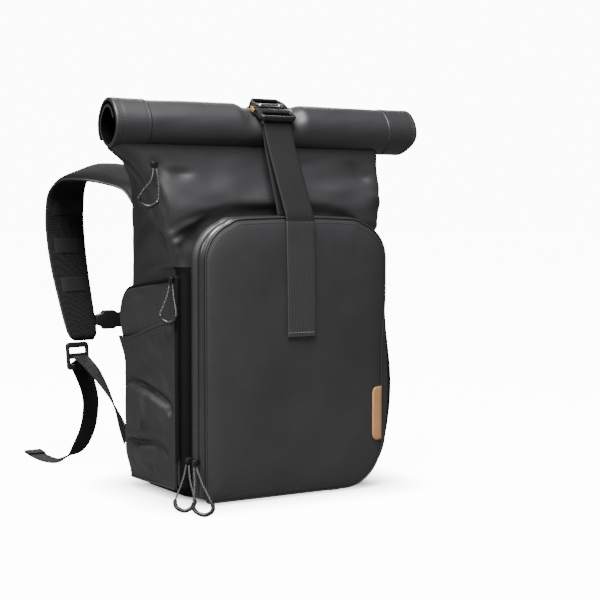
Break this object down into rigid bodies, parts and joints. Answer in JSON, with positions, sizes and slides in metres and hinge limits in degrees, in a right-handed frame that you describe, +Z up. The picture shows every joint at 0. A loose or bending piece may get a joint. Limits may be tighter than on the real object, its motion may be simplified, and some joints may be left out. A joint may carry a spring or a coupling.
{
  "type": "camera backpack",
  "caption": "Black camera backpack with a rolled top, a big zipped front pocket, stretch side pockets, padded shoulder straps and a webbing strap with a metal buckle over the roll",
  "frame": {"origin": "middle of the base on the floor, below the body's middle line", "axes": "+Z up, -Y towards the front pocket, +Y towards the shoulder straps, +X towards the viewer's right of the front pocket"},
  "size_m": [0.41, 0.4845, 0.4675],
  "materials": {
    "coated_cloth": "matte coated cloth with a fine weave",
    "stretch_cloth": "smooth stretch cloth",
    "base_cloth": "coarse coated base cloth",
    "webbing": "ribbed woven webbing",
    "air_mesh": "spacer mesh",
    "black_plastic": "satin moulded plastic",
    "black_metal": "satin black coating",
    "steel": "bright rivet",
    "brass": "satin",
    "tan_leather": "smooth tan leather",
    "pull_cord": "braided cord with pale flecks"
  },
  "bodies": {
    "root": {"back_panel": "air_mesh", "base_foot": "black_plastic", "base_panel": "base_cloth", "body_shell": "coated_cloth", "buckle_body": "black_metal", "buckle_frame": "black_metal", "buckle_rivet_left": "steel", "buckle_rivet_right": "steel", "buckle_tab_left": "brass", "buckle_tab_right": "brass", "door_rib_front": "coated_cloth", "door_rib_rear": "coated_cloth", "front_door": "coated_cloth", "grab_handle": "webbing", "ladder_lock_left": "black_plastic", "ladder_lock_right": "black_plastic", "leather_label": "tan_leather", "lower_webbing_left": "webbing", "lower_webbing_right": "webbing", "pull_cord_low_front": "pull_cord", "pull_cord_low_rear": "pull_cord", "pull_cord_neck": "pull_cord", "pull_cord_side": "pull_cord", "pull_ring_low_front": "black_plastic", "pull_ring_low_rear": "black_plastic", "pull_ring_neck": "black_plastic", "pull_ring_side": "black_plastic", "roll_band_left": "coated_cloth", "roll_band_right": "coated_cloth", "roll_center": "coated_cloth", "shoulder_strap_left": "air_mesh", "shoulder_strap_right": "air_mesh", "side_door_left": "coated_cloth", "side_door_right": "coated_cloth", "side_pocket_left": "stretch_cloth", "side_pocket_right": "stretch_cloth", "sternum_buckle": "black_plastic", "sternum_webbing": "webbing", "strap_anchor": "webbing", "strap_over": "webbing", "strap_tab_left": "coated_cloth", "strap_tab_right": "coated_cloth", "strap_tail": "webbing", "webbing_tail_left": "webbing", "webbing_tail_right": "webbing", "zip_slider_low_front": "black_metal", "zip_slider_low_rear": "black_metal", "zip_slider_neck": "black_metal", "zip_slider_side": "black_metal"}
  },
  "joints": []
}
